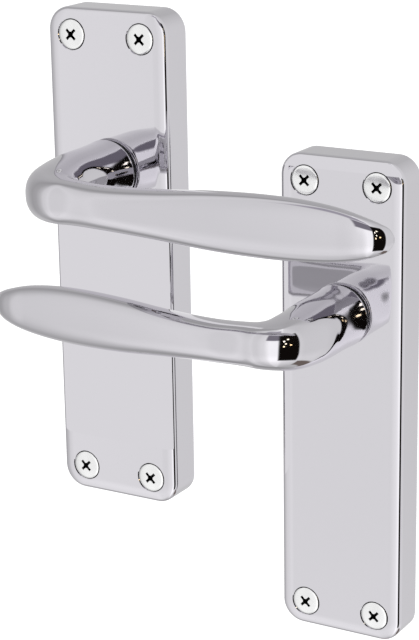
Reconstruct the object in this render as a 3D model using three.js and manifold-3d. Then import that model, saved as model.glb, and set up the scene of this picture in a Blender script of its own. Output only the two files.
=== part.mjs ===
// A handed pair of lever latch handles on short backplates, shown one in front of the other.
// Millimetres, +Z up, -Y out of the door. The origin is the middle of the left plate's back.
// Each handle is built once in its own frame, with the lever along +X, and mirrored for the right hand.
import * as THREE from "three";
import { mergeVertices } from "three/addons/utils/BufferGeometryUtils.js";
import Module from "manifold-3d";

const wasm = await Module();
wasm.setup();

// Where the right handle's plate back stands, seen from the left one's.
const RIGHT_PLACE = [64.6, 25, -42.8];

// Backplate: a cast shell with a softly rounded front edge and an open, ribbed back.
const PLATE_W = 41;
const PLATE_H = 152;
const PLATE_T = 11.8;
const PLATE_CORNER = 7;
const EDGE_WIDTH = 4.4;
const EDGE_SLOPE = THREE.MathUtils.degToRad(17);
const EDGE_ROUND = 1.5;
const WALL = 2.6;
const SKIN = 3;
const RIB_T = 3;
const RIB_HEIGHTS = [-38, 0, 54.5];

// Wood screws: four per plate, countersunk, with a cross recess.
const SCREW_DX = 23.8;
const SCREW_DZ = 136;
const HEAD_R = 4.4;
const HEAD_DEPTH = 2.4;
const HEAD_GAP = 0.35;
const SHANK_R = 1.95;
const SCREW_BOSS_R = 5.3;
const SCREW_BACK = 13;

// The spindle axis, its bearing and the square socket.
const AXIS_Z = 27.8;
const HUB_R = 12;
const BORE_R = 9.2;
const BUSH_BORE_R = 8.1;
const SPIGOT_R = 8;
const STUB_R = 7;
const STUB_FLAT = 6.2;
const SOCKET = 8.2;
const SOCKET_DEPTH = 27;
const TURN = THREE.MathUtils.degToRad(40);

// Depths behind the plate's front, as Y.
const FRONT = -PLATE_T;
const INSIDE = FRONT + SKIN;
const HUB_BACK = -6;
const CAM_FRONT = -5.05;
const COVER_FRONT = -3.3;
const COVER_BACK = -2.1;
const STUB_BACK = -0.3;
const SHOULDER = FRONT - 0.8;

// Lever: a round neck, a tight elbow and a leaf-shaped grip that bows back towards the door.
const NECK_R = 9.8;
const GRIP_OUT = 36.3;
const TIP_OUT = 27.2;
const LEVER_LENGTH = 106.5;
const ELBOW_X = 11;
const ELBOW_OUT = 28.5;
const SQUARENESS = 0.4;

// Spring cassette: coil, its cam's lug and the posts that stop the lug.
const COIL_R = 13.6;
const WIRE_R = 0.55;
const LUG_REACH = 20.5;
const LUG_HALF = 2.5;
const POST_R = 1.6;
const POST_AT = 19;

const ROUND = 28;

// Turns a closed geometry into a manifold-3d solid whose faces point outwards.
function solid(geometry) {
  const bare = geometry.clone();
  bare.deleteAttribute("normal");
  bare.deleteAttribute("uv");
  const merged = mergeVertices(bare, 1e-4);
  const vertProperties = new Float32Array(merged.attributes.position.array);
  const triVerts = new Uint32Array(merged.index.array);
  const made = new wasm.Manifold(new wasm.Mesh({ numProp: 3, vertProperties, triVerts }));
  if (made.volume() > 0) return made;
  for (let i = 0; i < triVerts.length; i += 3) {
    [triVerts[i + 1], triVerts[i + 2]] = [triVerts[i + 2], triVerts[i + 1]];
  }
  return new wasm.Manifold(new wasm.Mesh({ numProp: 3, vertProperties, triVerts }));
}

// The geometry of a manifold-3d solid.
function geometryOf(made) {
  const mesh = made.getMesh();
  const geometry = new THREE.BufferGeometry();
  geometry.setAttribute("position", new THREE.BufferAttribute(mesh.vertProperties, 3));
  geometry.setIndex(new THREE.BufferAttribute(mesh.triVerts, 1));
  geometry.computeVertexNormals();
  return geometry;
}

// A body turned about the Y axis from [radius, y] points, moved to stand at x, z.
function turned(profile, x = 0, z = 0, segments = ROUND) {
  const points = profile.map(([r, y]) => new THREE.Vector2(r, y));
  return solid(new THREE.LatheGeometry(points, segments).translate(x, 0, z));
}

// A round bar along Y between two depths.
function bar(radius, front, back, x = 0, z = 0, segments = ROUND) {
  return turned([[0, front], [radius, front], [radius, back], [0, back]], x, z, segments);
}

// A ring along Y between two depths.
function ring(inner, outer, front, back, z = 0) {
  const profile = [[inner, front], [outer, front], [outer, back], [inner, back], [inner, front]];
  return turned(profile, 0, z);
}

// A shape drawn in X and Z, made solid between two depths.
function slab(shape, front, back, segments = 6) {
  const options = { depth: back - front, bevelEnabled: false, curveSegments: segments };
  const geometry = new THREE.ExtrudeGeometry(shape, options);
  return solid(geometry.rotateX(Math.PI / 2).translate(0, back, 0));
}

// A box between two corners.
function block(low, high) {
  const size = high.map((value, i) => value - low[i]);
  const middle = high.map((value, i) => (value + low[i]) / 2);
  return solid(new THREE.BoxGeometry(...size).translate(...middle));
}

// A rectangle with round corners, centred on x = 0 and the given height.
function roundedRectangle(width, height, radius, z = 0) {
  const shape = new THREE.Shape();
  const x = width / 2 - radius;
  const y = height / 2 - radius;
  shape.absarc(x, z + y, radius, 0, Math.PI / 2);
  shape.absarc(-x, z + y, radius, Math.PI / 2, Math.PI);
  shape.absarc(-x, z - y, radius, Math.PI, Math.PI * 1.5);
  shape.absarc(x, z - y, radius, Math.PI * 1.5, Math.PI * 2);
  return shape;
}

// A circle with two flats, the shape that keys the cam to the lever.
function flattedCircle(radius, flat) {
  const shape = new THREE.Shape();
  const half = Math.acos(flat / radius);
  shape.absarc(0, AXIS_Z, radius, half, Math.PI - half);
  shape.absarc(0, AXIS_Z, radius, Math.PI + half, Math.PI * 2 - half);
  return shape;
}

// A point round the spindle axis: the angle runs from the top towards the lever.
function polar(radius, angle) {
  return [radius * Math.sin(angle), AXIS_Z + radius * Math.cos(angle)];
}

// The angle between the middles of the lug and of something beside it.
function besideLug(distance, radius) {
  return Math.asin((LUG_HALF + distance) / radius);
}

const SCREW_PLACES = [
  ["top_inner", -1, 1],
  ["top_outer", 1, 1],
  ["bottom_inner", -1, -1],
  ["bottom_outer", 1, -1],
].map(([name, x, z]) => ({ name, x: (x * SCREW_DX) / 2, z: (z * SCREW_DZ) / 2 }));

const COVER_SCREW_PLACES = [
  ["upper", -1],
  ["lower", 1],
].map(([name, side]) => ({ name, x: side * 12.5, z: AXIS_Z - side * 20 }));

const LUG_GAP = 0.1;
const STOP_ANGLES = [-1, 1].map(
  (side) => side * besideLug(POST_R + LUG_GAP, POST_AT) + (side > 0 ? TURN : 0),
);
const ANCHOR_ANGLE = Math.PI + Math.asin((POST_R + WIRE_R + LUG_GAP) / POST_AT);

// Insets and depths down the front edge: a shallow pillow from the flat, then a tight round to the side.
function edgeProfile() {
  const pillow = EDGE_WIDTH - EDGE_ROUND * (1 - Math.sin(EDGE_SLOPE));
  const fall = (Math.tan(EDGE_SLOPE) * pillow) / 2;
  const steps = [[EDGE_WIDTH, 0]];
  for (const share of [0.5, 1]) {
    steps.push([EDGE_WIDTH - pillow * share, fall * share * share]);
  }
  for (const share of [0.35, 0.7, 1]) {
    const angle = EDGE_SLOPE + (Math.PI / 2 - EDGE_SLOPE) * share;
    const deeper = EDGE_ROUND * (Math.cos(EDGE_SLOPE) - Math.cos(angle));
    steps.push([EDGE_ROUND * (1 - Math.sin(angle)), fall + deeper]);
  }
  return steps;
}

// The plate's outside: rounded rectangles stacked from the flat front, over the edge and to the back.
function plateOutside() {
  const steps = [...edgeProfile(), [0, PLATE_T]];
  const loops = steps.map(([inset, depth]) => {
    const corner = Math.max(PLATE_CORNER - inset, 0.5);
    const shape = roundedRectangle(PLATE_W - 2 * inset, PLATE_H - 2 * inset, corner);
    return shape.extractPoints(6).shape.map(({ x, y }) => [x, FRONT + depth, y]);
  });
  const count = loops[0].length;
  const index = [];
  for (let ringAt = 0; ringAt + 1 < loops.length; ringAt += 1) {
    for (let i = 0; i < count; i += 1) {
      const near = ringAt * count + i;
      const next = ringAt * count + ((i + 1) % count);
      index.push(near, next, near + count, next, next + count, near + count);
    }
  }
  const back = (loops.length - 1) * count;
  for (let i = 1; i + 1 < count; i += 1) {
    index.push(0, i + 1, i, back, back + i, back + i + 1);
  }
  const geometry = new THREE.BufferGeometry();
  geometry.setAttribute("position", new THREE.Float32BufferAttribute(loops.flat(2), 3));
  geometry.setIndex(index);
  return solid(geometry);
}

// The countersunk hole of one screw.
function screwHole(x, z) {
  const mouth = HEAD_R + HEAD_GAP;
  const hole = SHANK_R + 0.3;
  const profile = [
    [0, FRONT - 1],
    [mouth, FRONT - 1],
    [mouth, FRONT],
    [hole, FRONT + mouth - hole],
    [hole, 1],
    [0, 1],
  ];
  return turned(profile, x, z, 20);
}

function backplate() {
  const inside = roundedRectangle(PLATE_W - 2 * WALL, PLATE_H - 2 * WALL, PLATE_CORNER - WALL);
  let body = plateOutside().subtract(slab(inside, INSIDE, 1));
  for (const z of RIB_HEIGHTS) {
    const x = PLATE_W / 2 - WALL / 2;
    body = body.add(block([-x, INSIDE - 0.5, z - RIB_T / 2], [x, 0, z + RIB_T / 2]));
  }
  body = body.add(bar(HUB_R, INSIDE - 0.5, HUB_BACK, 0, AXIS_Z));
  for (const { x, z } of SCREW_PLACES) {
    body = body.add(bar(SCREW_BOSS_R, INSIDE - 0.5, 0, x, z, 20)).subtract(screwHole(x, z));
  }
  for (const angle of [...STOP_ANGLES, ANCHOR_ANGLE]) {
    const [x, z] = polar(POST_AT, angle);
    body = body.add(bar(POST_R, INSIDE - 0.5, COVER_FRONT - 0.1, x, z, 8));
  }
  for (const { x, z } of COVER_SCREW_PLACES) {
    body = body.add(bar(2.8, INSIDE - 0.5, COVER_FRONT - 0.05, x, z, 12));
    body = body.subtract(bar(1.2, -7.5, 0, x, z, 8));
  }
  return body.subtract(bar(BORE_R, FRONT - 1, 1, 0, AXIS_Z));
}

// A ring of the elbow, turned about its inner corner: how far it is there to the near and far skin.
function elbowRing(turn, near, far, drop, high) {
  const angle = THREE.MathUtils.degToRad(turn);
  const middle = (near + far) / 2;
  const x = ELBOW_X - middle * Math.cos(angle);
  const out = ELBOW_OUT + middle * Math.sin(angle);
  return [x, out, drop, turn, high, (far - near) / 2];
}

// The lever's rings, from the plate to the tip:
// [x, out from the plate, below the axis, turn in degrees, half height, half thickness].
const LEVER_RINGS = [
  [0, 0.8, 0, 0, NECK_R, NECK_R],
  [0, 4, 0, 0, 9.5, 9.4],
  [0, 9, 0, 0, 9.4, 9.2],
  [0, 18, 0, 0, 9.1, 9.1],
  [0.2, 26, 0.1, 0, 8.4, 8.9],
  elbowRing(20, 1.6, 18.2, 0.2, 7.8),
  elbowRing(45, 1.8, 16.1, 0.4, 7.1),
  elbowRing(68, 2.2, 14.4, 0.5, 6.7),
  elbowRing(88, 2.4, 13, 0.6, 6.5),
  [22, GRIP_OUT + 0.3, 0.9, 90, 6.3, 5.1],
  [38, GRIP_OUT - 0.2, 1.1, 90, 7, 4.7],
  [55, GRIP_OUT - 1.8, 1.4, 90, 8.3, 4.5],
  [70, GRIP_OUT - 3.5, 1.7, 90, 8.8, 4.2],
  [82, GRIP_OUT - 4.9, 2, 90, 8.5, 3.9],
  [92, GRIP_OUT - 5.9, 2.3, 90, 7.4, 3.4],
  [98.5, GRIP_OUT - 6.5, 2.5, 90, 5.9, 3],
  [102.8, TIP_OUT + 1.8, 2.6, 90, 4.4, 2.6],
  [105.4, TIP_OUT + 1.2, 2.7, 90, 2.9, 1.8],
  [LEVER_LENGTH, TIP_OUT + 0.8, 2.7, 90, 1, 0.7],
];

// How square the lever's section is a share of the way along: 2 is an ellipse.
function squareness(along) {
  return 2 + SQUARENESS * Math.sqrt(Math.sin(Math.PI * along));
}

// A coordinate of a point on the unit circle, moved out towards a rounded square.
function squared(value, power) {
  return Math.sign(value) * Math.abs(value) ** (2 / power);
}

// The lever's skin: a round bar whose rings are laid along its length, turned and sized.
function leverSkin() {
  const spots = LEVER_RINGS.map(([x, out, drop]) => new THREE.Vector3(x, FRONT - out, AXIS_Z - drop));
  const sizes = LEVER_RINGS.map(([, , , turn, high, thick]) => new THREE.Vector3(high, thick, turn));
  const line = new THREE.CatmullRomCurve3(spots);
  const size = new THREE.CatmullRomCurve3(sizes);
  const geometry = new THREE.CylinderGeometry(1, 1, 1, 20, 34);
  const position = geometry.attributes.position;
  for (let i = 0; i < position.count; i += 1) {
    const along = THREE.MathUtils.clamp(0.5 - position.getY(i), 0, 1);
    const spot = line.getPoint(along);
    const half = size.getPoint(along);
    const turn = THREE.MathUtils.degToRad(half.z);
    const power = squareness(along);
    const aside = squared(position.getX(i), power) * half.y;
    spot.x -= aside * Math.cos(turn);
    spot.y -= aside * Math.sin(turn);
    spot.z += squared(position.getZ(i), power) * half.x;
    position.setXYZ(i, spot.x, spot.y, spot.z);
  }
  return solid(geometry);
}

const GRUB_Y = FRONT - 7;
const GRUB_R = 2.5;

function lever() {
  const half = SOCKET / 2;
  const grubHole = solid(new THREE.CylinderGeometry(GRUB_R, GRUB_R, 16, 16).rotateX(Math.PI / 2));
  return leverSkin()
    .add(bar(SPIGOT_R, SHOULDER - 1, CAM_FRONT - 0.05, 0, AXIS_Z))
    .add(slab(flattedCircle(STUB_R, STUB_FLAT), CAM_FRONT - 0.5, STUB_BACK, 8))
    .subtract(ring(STUB_R - 0.6, STUB_R + 2, -1.35, -0.45, AXIS_Z))
    .subtract(block([-half, -SOCKET_DEPTH, AXIS_Z - half], [half, 1, AXIS_Z + half]))
    .subtract(grubHole.translate([0, GRUB_Y, AXIS_Z - 10]));
}

function grubScrew() {
  const key = solid(new THREE.CylinderGeometry(1.45, 1.45, 4, 6).rotateX(Math.PI / 2));
  const radius = GRUB_R - 0.1;
  const profile = [[0, 0], [1.2, 0], [radius, 1.2], [radius, 4.2], [radius - 0.4, 4.6], [0, 4.6]];
  const points = profile.map(([r, y]) => new THREE.Vector2(r, y));
  const body = solid(new THREE.LatheGeometry(points, 16).rotateX(-Math.PI / 2));
  return body
    .subtract(key.translate([0, 0, -4.6]))
    .translate([0, GRUB_Y, AXIS_Z - SOCKET / 2 - 0.1]);
}

function cam() {
  const shape = new THREE.Shape();
  const outer = 10.5;
  const spread = Math.asin(LUG_HALF / outer);
  shape.absarc(0, AXIS_Z, outer, Math.PI / 2 + spread, Math.PI * 2.5 - spread);
  shape.lineTo(LUG_HALF, AXIS_Z + LUG_REACH);
  shape.lineTo(-LUG_HALF, AXIS_Z + LUG_REACH);
  shape.holes.push(flattedCircle(STUB_R + 0.12, STUB_FLAT + 0.12));
  return slab(shape, CAM_FRONT, CAM_FRONT + 1.5, 14);
}

function bush() {
  const profile = [
    [BUSH_BORE_R, FRONT + 0.05],
    [BORE_R - 0.1, FRONT + 0.05],
    [BORE_R - 0.1, HUB_BACK + 0.05],
    [HUB_R - 0.6, HUB_BACK + 0.05],
    [HUB_R - 0.6, HUB_BACK + 0.8],
    [BUSH_BORE_R, HUB_BACK + 0.8],
    [BUSH_BORE_R, FRONT + 0.05],
  ];
  return turned(profile, 0, AXIS_Z);
}

// The torsion spring: a leg behind the lug, one and a half turns round the hub, a leg on its anchor post.
function returnSpring() {
  const start = besideLug(WIRE_R + LUG_GAP, COIL_R);
  const sweep = 3 * Math.PI - start;
  const back = -6.05;
  const front = -7.95;
  const steps = 26;
  const route = [[COIL_R, start, -3.5], [COIL_R, start, -4.6]];
  for (let i = 0; i <= steps; i += 1) {
    const share = i / steps;
    const angle = start + 0.07 + (sweep - 0.14) * share;
    route.push([COIL_R, angle, THREE.MathUtils.lerp(back, front, share)]);
  }
  route.push([COIL_R + 1.6, Math.PI, front], [COIL_R + 3.6, Math.PI, front]);
  const points = route.map(([radius, angle, y]) => {
    const [x, z] = polar(radius, angle);
    return new THREE.Vector3(x, y, z);
  });
  const wire = new THREE.Shape().absarc(0, 0, WIRE_R, 0, Math.PI * 2);
  const extrudePath = new THREE.CatmullRomCurve3(points);
  return solid(new THREE.ExtrudeGeometry(wire, { extrudePath, steps: 64, curveSegments: 3 }));
}

function cover() {
  const outline = roundedRectangle(35, 46, 4, AXIS_Z);
  let body = slab(outline, COVER_FRONT, COVER_BACK, 4).subtract(bar(STUB_R + 0.4, -9, 1, 0, AXIS_Z));
  for (const { x, z } of COVER_SCREW_PLACES) body = body.subtract(bar(1.4, -9, 1, x, z, 10));
  return body;
}

function coverScrew({ x, z }) {
  const profile = [
    [0, -7.2],
    [1.1, -6.6],
    [1.1, COVER_BACK + 0.02],
    [2.5, COVER_BACK + 0.02],
    [2.3, COVER_BACK + 0.9],
    [1.4, COVER_BACK + 1.3],
    [0, COVER_BACK + 1.4],
  ];
  return crossRecess(turned(profile, x, z, 12), x, COVER_BACK + 1.4, z, 0.9, 2.4, 0.5);
}

// Cuts a cross-shaped driver recess into a face at depth y, turned like an x.
function crossRecess(body, x, y, z, depth, span, width) {
  let cut = body;
  for (const angle of [Math.PI / 4, -Math.PI / 4]) {
    const arm = new THREE.BoxGeometry(span, 2 * depth, width).rotateY(angle).translate(x, y, z);
    cut = cut.subtract(solid(arm));
  }
  return cut;
}

function woodScrew({ x, z }) {
  const point = SCREW_BACK - 5;
  const neck = FRONT + HEAD_DEPTH;
  const profile = [
    [0, FRONT - 0.45],
    [2.6, FRONT - 0.3],
    [HEAD_R, FRONT],
    [SHANK_R, neck],
    [SHANK_R, point],
    [0.3, SCREW_BACK],
    [0, SCREW_BACK],
  ];
  return crossRecess(turned(profile, x, z, 20), x, FRONT - 0.45, z, 1.7, 4.2, 0.9);
}

function circlip() {
  const shape = new THREE.Shape();
  const gap = 0.35;
  shape.absarc(0, AXIS_Z, STUB_R + 1.2, Math.PI / 2 + gap, Math.PI * 2.5 - gap);
  shape.absarc(0, AXIS_Z, STUB_R - 0.5, Math.PI * 2.5 - gap, Math.PI / 2 + gap, true);
  return slab(shape, -1.3, -0.5, 14);
}

function material(color, roughness, metalness) {
  return new THREE.MeshStandardMaterial({ color, roughness, metalness });
}

const FINISHES = {
  chrome: () => material(0xd8d8dc, 0.08, 1),
  steel: () => material(0xb9b9b6, 0.35, 1),
  spring_steel: () => material(0x8c8c8a, 0.4, 1),
  nylon: () => material(0xe9e6dc, 0.5, 0),
  black_nylon: () => material(0x1e1e20, 0.5, 0),
  black_steel: () => material(0x2c2c30, 0.45, 1),
};

// Every piece of one handle: its name, its solid and its finish.
function pieces() {
  return [
    ["backplate", backplate(), "chrome"],
    ["lever", lever(), "chrome"],
    ["neck_washer", ring(8.15, 9.3, SHOULDER + 0.05, FRONT - 0.05, AXIS_Z), "black_nylon"],
    ["bush", bush(), "nylon"],
    ["cam", cam(), "steel"],
    ["return_spring", returnSpring(), "spring_steel"],
    ["cover", cover(), "steel"],
    ["thrust_washer", ring(STUB_R + 0.15, 10.2, COVER_BACK + 0.05, -1.4, AXIS_Z), "steel"],
    ["circlip", circlip(), "spring_steel"],
    ["grub_screw", grubScrew(), "black_steel"],
    ...COVER_SCREW_PLACES.map((at) => ["cover_screw_" + at.name, coverScrew(at), "steel"]),
    ...SCREW_PLACES.map((at) => ["screw_" + at.name, woodScrew(at), "chrome"]),
  ];
}

function handle(side) {
  const group = new THREE.Group();
  for (const [name, made, finish] of pieces()) {
    const mesh = new THREE.Mesh(geometryOf(made), FINISHES[finish]());
    mesh.name = side + "_" + name;
    group.add(mesh);
  }
  return group;
}

const pair = new THREE.Group();
const left = handle("left");
const right = handle("right");
right.scale.x = -1;
right.position.set(...RIGHT_PLACE);
pair.add(left, right);

export default pair;
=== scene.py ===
"""A handed pair of polished chrome lever handles on short backplates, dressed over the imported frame."""

import logging
import math
from collections.abc import Callable, Iterable, Sequence
from dataclasses import dataclass, field
from enum import Enum
from typing import Any

import bmesh
import bpy
from mathutils import Matrix, Vector


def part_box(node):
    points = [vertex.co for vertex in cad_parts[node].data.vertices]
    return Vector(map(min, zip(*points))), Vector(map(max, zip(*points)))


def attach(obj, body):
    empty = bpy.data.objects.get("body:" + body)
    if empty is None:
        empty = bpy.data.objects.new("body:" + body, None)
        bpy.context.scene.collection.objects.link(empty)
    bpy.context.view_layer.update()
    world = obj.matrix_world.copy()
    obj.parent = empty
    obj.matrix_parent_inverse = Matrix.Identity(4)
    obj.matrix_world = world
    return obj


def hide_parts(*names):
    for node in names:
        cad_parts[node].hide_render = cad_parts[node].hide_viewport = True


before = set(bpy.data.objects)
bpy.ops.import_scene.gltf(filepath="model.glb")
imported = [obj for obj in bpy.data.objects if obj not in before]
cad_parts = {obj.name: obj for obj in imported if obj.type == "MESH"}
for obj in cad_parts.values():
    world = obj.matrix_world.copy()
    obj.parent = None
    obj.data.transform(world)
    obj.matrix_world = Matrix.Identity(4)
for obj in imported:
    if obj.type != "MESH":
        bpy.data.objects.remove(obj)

LOG = logging.getLogger("handles")
MM = 0.001
TURN = 2 * math.pi
CLEAR = 1.0  # how far a cutting tool stands past a face, in millimetres
WELD = 0.5  # how far a joining tool reaches into the body, in millimetres
POINT = 1e-4  # radius that stands for none, in millimetres

Point = tuple[float, float, float]
Ring = list[Vector]


# --- small helpers -----------------------------------------------------------------------------


def linear(hex_colour: str) -> tuple[float, float, float, float]:
    """Turns an sRGB hex colour into linear light.

    Args:
        hex_colour: six hex digits with a leading #.

    Returns:
        Red, green, blue and an alpha of 1.
    """
    parts = [int(hex_colour[i : i + 2], 16) / 255 for i in (1, 3, 5)]
    light = [c / 12.92 if c <= 0.04045 else ((c + 0.055) / 1.055) ** 2.4 for c in parts]
    return (light[0], light[1], light[2], 1.0)


def add_node(tree: bpy.types.NodeTree, kind: str, settings: dict[str, Any], **links: Any) -> bpy.types.Node:
    """Adds one shader node with its settings and links.

    Args:
        tree: the node tree that takes the node.
        kind: the node's type name.
        settings: attribute names, or socket names and their values.
        links: input name, with _ for a space, and the output socket that feeds it.

    Returns:
        The new node.
    """
    node = tree.nodes.new(kind)
    for name, value in settings.items():
        if hasattr(node, name):
            setattr(node, name, value)
        else:
            node.inputs[name].default_value = value
    for name, source in links.items():
        tree.links.new(source, node.inputs[name.replace("_", " ")])
    return node


def direction(azimuth: float, elevation: float) -> Vector:
    """The unit vector towards an azimuth (0 is out of the door, 90 to the right) and an elevation."""
    a, e = math.radians(azimuth), math.radians(elevation)
    return Vector((math.sin(a) * math.cos(e), -math.cos(a) * math.cos(e), math.sin(e)))


# --- where things are --------------------------------------------------------------------------


class Hand(Enum):
    """Which way a handle's lever points; the value is the sign of its own X axis."""

    LEFT = 1
    RIGHT = -1

    @property
    def side(self) -> str:
        """The start of this handle's node names."""
        return self.name.lower()

    def node(self, name: str) -> str:
        """The full name of one of this handle's nodes."""
        return f"{self.side}_{name}"


@dataclass(frozen=True)
class Site:
    """A handle's place, read from the frame: its own millimetres turned into the shared frame's metres."""

    hand: Hand

    @property
    def plate(self) -> tuple[Vector, Vector]:
        """The lowest and highest corners of the backplate."""
        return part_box(self.hand.node("backplate"))

    @property
    def origin(self) -> Vector:
        """The middle of the backplate's back."""
        low, high = self.plate
        return Vector(((low.x + high.x) / 2, high.y, (low.z + high.z) / 2))

    @property
    def plate_size(self) -> Vector:
        """Width, thickness and height of the backplate in millimetres."""
        low, high = self.plate
        return (high - low) / MM

    @property
    def axis_z(self) -> float:
        """Height of the spindle axis above the plate's middle, in millimetres."""
        low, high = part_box(self.hand.node("thrust_washer"))
        return ((low.z + high.z) / 2 - self.origin.z) / MM

    @property
    def matrix(self) -> Matrix:
        """From this handle's own millimetres to the shared frame."""
        scale = Matrix.Diagonal((self.hand.value * MM, MM, MM, 1))
        return Matrix.Translation(self.origin) @ scale

    def local_middle(self, name: str) -> Vector:
        """The middle of a node's box in this handle's own millimetres."""
        low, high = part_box(self.hand.node(name))
        return self.matrix.inverted() @ ((low + high) / 2)


# --- mesh making -------------------------------------------------------------------------------


def skin(rings: Sequence[Ring], closed: bool = False) -> bmesh.types.BMesh:
    """Lays quads between rings of equal length and closes the two ends.

    Args:
        rings: loops of points, one after another along the body.
        closed: True where the last ring joins the first, as on a tube's own section.

    Returns:
        A new bmesh in the points' own units.
    """
    bm = bmesh.new()
    made = [[bm.verts.new(p) for p in ring] for ring in rings]
    count = len(rings[0])
    pairs = list(zip(made, made[1:]))
    if closed:
        pairs.append((made[-1], made[0]))
    for near, far in pairs:
        for i in range(count):
            j = (i + 1) % count
            bm.faces.new((near[i], near[j], far[j], far[i]))
    if not closed:
        bm.faces.new(made[0])
        bm.faces.new(made[-1])
    bmesh.ops.recalc_face_normals(bm, faces=bm.faces[:])
    return bm


def turned(profile: Iterable[tuple[float, float]], x: float, z: float, sides: int = 72) -> bmesh.types.BMesh:
    """Turns a profile about an axis along Y.

    Args:
        profile: radius and y pairs; a first and last radius of 0 makes a solid bar, else a tube.
        x: the axis's x.
        z: the axis's z.
        sides: how many facets the round has.

    Returns:
        A new closed bmesh.
    """
    points = list(profile)
    angles = [TURN * i / sides for i in range(sides)]
    hollow = points[0][0] > 0 and points[-1][0] > 0
    rings = [
        [Vector((x + max(r, POINT) * math.sin(a), y, z + max(r, POINT) * math.cos(a))) for a in angles]
        for r, y in points
    ]
    return skin(rings, closed=hollow)


def bar(radius: float, front: float, back: float, x: float, z: float, sides: int = 72) -> bmesh.types.BMesh:
    """A plain round bar along Y, used to cut or to join."""
    return turned([(0, front), (radius, front), (radius, back), (0, back)], x, z, sides)


def rounded_outline(width: float, height: float, radius: float, y: float, steps: int = 12) -> Ring:
    """A rectangle with round corners in X and Z, about the Y axis.

    Args:
        width: size along X.
        height: size along Z.
        radius: corner radius.
        y: the depth it lies at.
        steps: points in each corner after its first.

    Returns:
        Its points, anticlockwise from the right-hand side.
    """
    ring = []
    for corner, (sx, sz) in enumerate(((1, 1), (-1, 1), (-1, -1), (1, -1))):
        middle = Vector((sx * (width / 2 - radius), y, sz * (height / 2 - radius)))
        for i in range(steps + 1):
            angle = math.pi / 2 * (corner + i / steps)
            ring.append(middle + radius * Vector((math.cos(angle), 0, math.sin(angle))))
    return ring


def box_mesh(low: Point, high: Point) -> bmesh.types.BMesh:
    """A block between two corners, used to cut or to join."""
    corners = ((low[0], low[2]), (high[0], low[2]), (high[0], high[2]), (low[0], high[2]))
    return skin([[Vector((x, y, z)) for x, z in corners] for y in (low[1], high[1])])


def as_object(bm: bmesh.types.BMesh, name: str) -> bpy.types.Object:
    """Links a bmesh into the scene as an object and frees it."""
    mesh = bpy.data.meshes.new(name)
    bm.to_mesh(mesh)
    bm.free()
    obj = bpy.data.objects.new(name, mesh)
    bpy.context.collection.objects.link(obj)
    return obj


class Join(Enum):
    """How a tool meets the body it works on."""

    ADD = "UNION"
    CUT = "DIFFERENCE"


def worked(body: bpy.types.Object, tools: Iterable[tuple[Join, bmesh.types.BMesh]]) -> bpy.types.Object:
    """Adds and cuts a body with tools, in order, and removes the tools.

    Args:
        body: the object that is worked on.
        tools: pairs of how and the tool's bmesh.

    Returns:
        The same object with its new mesh.
    """
    for how, bm in tools:
        tool = as_object(bm, "tool")
        modifier = body.modifiers.new("work", "BOOLEAN")
        modifier.operation = how.value
        modifier.solver = "EXACT"
        modifier.object = tool
        settle(body)
        bpy.data.objects.remove(tool)
    return body


def settle(obj: bpy.types.Object) -> None:
    """Bakes an object's modifiers into its mesh."""
    graph = bpy.context.evaluated_depsgraph_get()
    mesh = bpy.data.meshes.new_from_object(obj.evaluated_get(graph))
    obj.modifiers.clear()
    old = obj.data
    obj.data = mesh
    bpy.data.meshes.remove(old)


def finish_mesh(obj: bpy.types.Object, matrix: Matrix, crease: float = 32.0, soften: float = 0.0) -> None:
    """Puts a mesh in place and gives it true shading.

    Args:
        obj: the object whose mesh is in a handle's own millimetres.
        matrix: from those to the shared frame.
        crease: edges sharper than this many degrees stay crisp.
        soften: width in millimetres of the small bevel on those edges.
    """
    mesh = obj.data
    mesh.transform(matrix)
    bm = bmesh.new()
    bm.from_mesh(mesh)
    bmesh.ops.remove_doubles(bm, verts=bm.verts, dist=1e-7)
    bmesh.ops.recalc_face_normals(bm, faces=bm.faces[:])
    bm.to_mesh(mesh)
    bm.free()
    if soften:
        bevel = obj.modifiers.new("soft_edges", "BEVEL")
        bevel.width = soften * MM
        bevel.segments = 3
        bevel.limit_method = "ANGLE"
        bevel.angle_limit = math.radians(crease)
        settle(obj)
    obj.data.shade_smooth()
    obj.data.set_sharp_from_angle(angle=math.radians(crease))
    weighted = obj.modifiers.new("true_shading", "WEIGHTED_NORMAL")
    weighted.keep_sharp = True
    weighted.weight = 60


def dress(obj: bpy.types.Object, material: bpy.types.Material) -> None:
    """Gives an object one material all over."""
    obj.data.materials.clear()
    obj.data.materials.append(material)
    for polygon in obj.data.polygons:
        polygon.material_index = 0


# --- finishes ----------------------------------------------------------------------------------


def bare_material(name: str) -> tuple[bpy.types.Material, bpy.types.NodeTree, bpy.types.Node]:
    """Starts a node material.

    Args:
        name: the material's name.

    Returns:
        The material, its node tree and its main shader.
    """
    made = bpy.data.materials.new(name)
    made.use_nodes = True
    return made, made.node_tree, made.node_tree.nodes["Principled BSDF"]


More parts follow.
